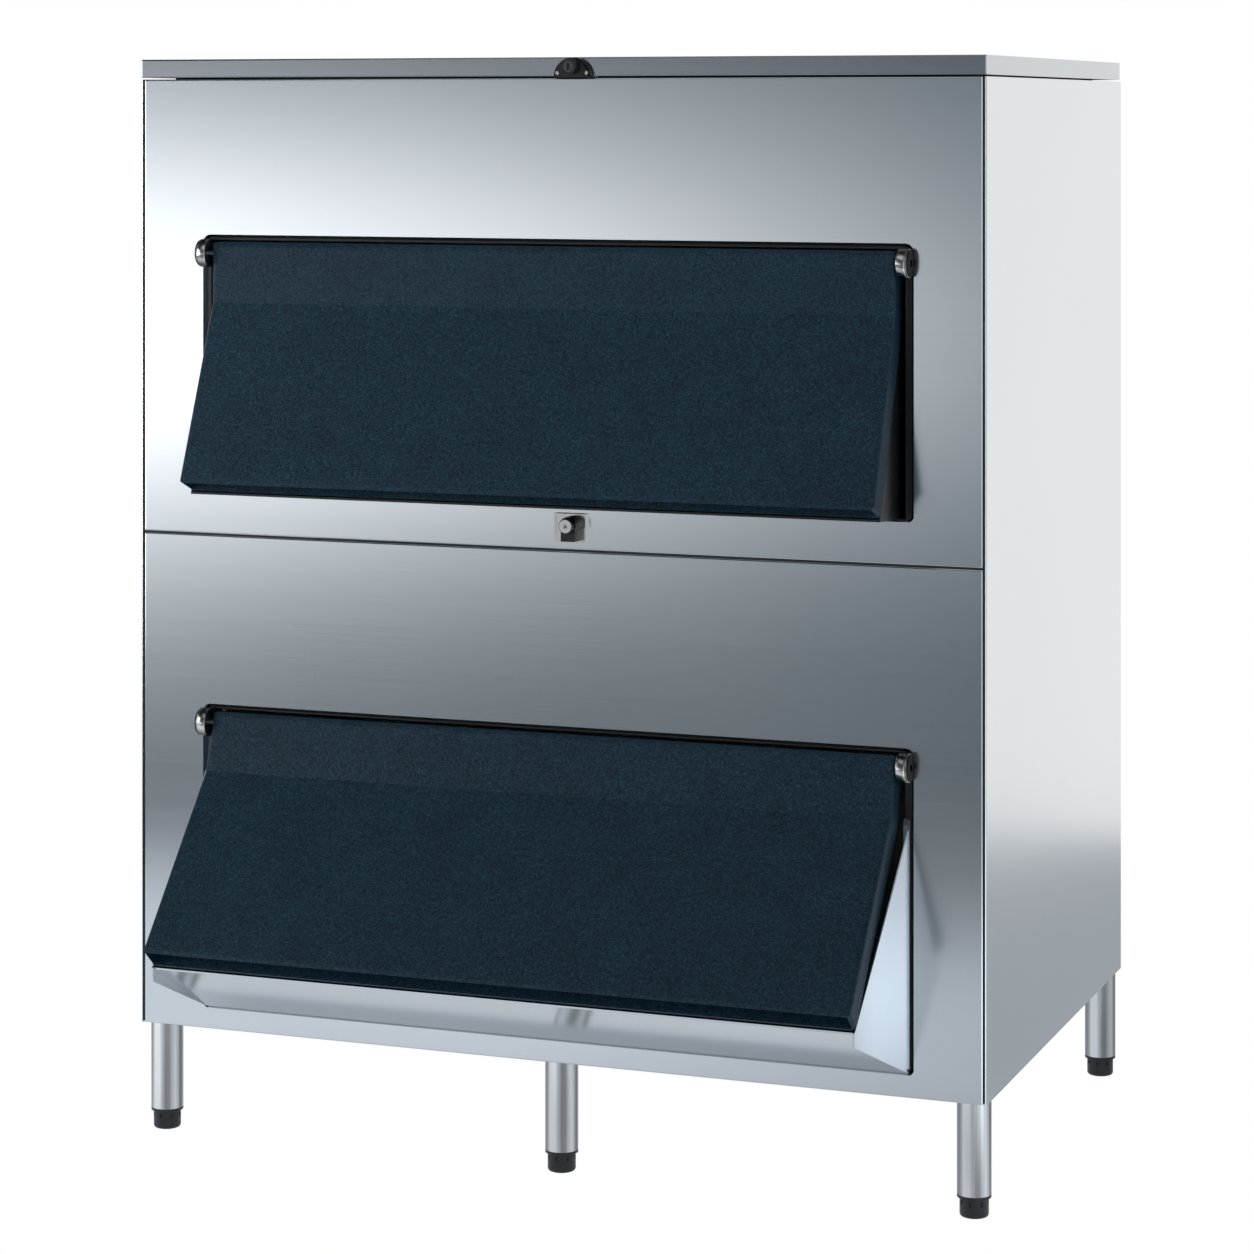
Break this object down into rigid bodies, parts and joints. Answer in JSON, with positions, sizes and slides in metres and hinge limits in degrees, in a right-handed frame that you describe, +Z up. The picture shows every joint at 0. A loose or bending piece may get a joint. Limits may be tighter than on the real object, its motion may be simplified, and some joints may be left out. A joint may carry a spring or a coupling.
{
  "type": "ice storage bin",
  "caption": "Insulated steel ice storage bin on levelling legs, with two top-hinged hopper doors in the front and a lockable hinged lid.",
  "frame": {"origin": "on the floor, at the middle of the bin's outline seen from above", "axes": "+X to the right seen from the front, +Y to the back, +Z up"},
  "size_m": [1.25, 1.0324, 1.54],
  "materials": {
    "stainless": "satin grain",
    "leg_steel": "bright satin",
    "lock_steel": "satin",
    "navy_plastic": "pebble grain",
    "black_plastic": "fine grain",
    "white_liner": "smooth",
    "foam": "open foam",
    "gasket_rubber": "matt",
    "foot_plastic": "matt"
  },
  "bodies": {
    "cabinet": {"side_panel_left": "stainless", "side_panel_right": "stainless", "back_panel": "stainless", "base_pan": "stainless", "upper_front_panel": "stainless", "lower_front_panel": "stainless", "base_rails": "stainless", "hopper_apron": "stainless", "hopper_cheeks": "stainless", "hinge_brackets": "stainless", "lid_hinge_fixed": "stainless", "hinge_screws": "lock_steel", "lid_hinge_pins": "lock_steel", "lid_lock_keeper": "lock_steel", "panel_lock_plate": "lock_steel", "drain_strainer": "lock_steel", "leg_bolts": "lock_steel", "leg_tubes": "leg_steel", "upper_throat": "black_plastic", "lower_throat": "black_plastic", "upper_sill": "black_plastic", "upper_cheeks": "black_plastic", "hinge_end_caps": "black_plastic", "top_rim": "black_plastic", "panel_lock_housing": "black_plastic", "drain_fitting": "black_plastic", "drain_locknut": "black_plastic", "liner_sides": "white_liner", "liner_back": "white_liner", "liner_floor": "white_liner", "liner_front": "white_liner", "insulation_sides": "foam", "insulation_back": "foam", "insulation_floor": "foam", "insulation_front": "foam", "joint_strips": "gasket_rubber", "leg_inserts": "foot_plastic"},
    "upper_door": {"upper_door_shell": "navy_plastic", "upper_door_core": "foam", "upper_door_back": "black_plastic", "upper_door_pins": "lock_steel"},
    "lower_door": {"lower_door_shell": "navy_plastic", "lower_door_core": "foam", "lower_door_back": "black_plastic", "lower_door_pins": "lock_steel"},
    "lid": {"lid_shell": "stainless", "lid_core": "foam", "lid_liner": "white_liner", "lid_gasket": "gasket_rubber", "lid_hinge_moving": "stainless", "lid_lock_housing": "black_plastic", "lid_lock_screws": "lock_steel"},
    "lid_lock": {"lid_lock_plug": "lock_steel"},
    "panel_lock": {"panel_lock_plug": "lock_steel"},
    "leveller_front_left": {"foot_front_left": "foot_plastic"},
    "leveller_front_middle": {"foot_front_middle": "foot_plastic"},
    "leveller_front_right": {"foot_front_right": "foot_plastic"},
    "leveller_rear_left": {"foot_rear_left": "foot_plastic"},
    "leveller_rear_middle": {"foot_rear_middle": "foot_plastic"},
    "leveller_rear_right": {"foot_rear_right": "foot_plastic"}
  },
  "joints": [
    {"name": "upper_door_swing", "type": "hinge", "parent": "cabinet", "child": "upper_door", "pos_m": [0, -0.30381, 1.264], "axis": [-1, 0, 0], "range_deg": [0, 100]},
    {"name": "lower_door_swing", "type": "hinge", "parent": "cabinet", "child": "lower_door", "pos_m": [0, -0.30381, 0.596], "axis": [-1, 0, 0], "range_deg": [0, 82]},
    {"name": "lid_swing", "type": "hinge", "parent": "cabinet", "child": "lid", "pos_m": [0, 0.51119, 1.516], "axis": [-1, 0, 0], "range_deg": [0, 80]},
    {"name": "lid_lock_turn", "type": "hinge", "parent": "lid", "child": "lid_lock", "pos_m": [0.043, -0.29381, 1.527], "axis": [0, -1, 0], "range_deg": [0, 90]},
    {"name": "panel_lock_turn", "type": "hinge", "parent": "cabinet", "child": "panel_lock", "pos_m": [0.043, -0.29381, 0.899], "axis": [0, 1, 0], "range_deg": [0, 90]},
    {"name": "leveller_front_left_thread", "type": "slide", "parent": "cabinet", "child": "leveller_front_left", "axis": [0, 0, -1], "range_m": [0, 0.02]},
    {"name": "leveller_front_middle_thread", "type": "slide", "parent": "cabinet", "child": "leveller_front_middle", "axis": [0, 0, -1], "range_m": [0, 0.02]},
    {"name": "leveller_front_right_thread", "type": "slide", "parent": "cabinet", "child": "leveller_front_right", "axis": [0, 0, -1], "range_m": [0, 0.02]},
    {"name": "leveller_rear_left_thread", "type": "slide", "parent": "cabinet", "child": "leveller_rear_left", "axis": [0, 0, -1], "range_m": [0, 0.02]},
    {"name": "leveller_rear_middle_thread", "type": "slide", "parent": "cabinet", "child": "leveller_rear_middle", "axis": [0, 0, -1], "range_m": [0, 0.02]},
    {"name": "leveller_rear_right_thread", "type": "slide", "parent": "cabinet", "child": "leveller_rear_right", "axis": [0, 0, -1], "range_m": [0, 0.02]}
  ]
}
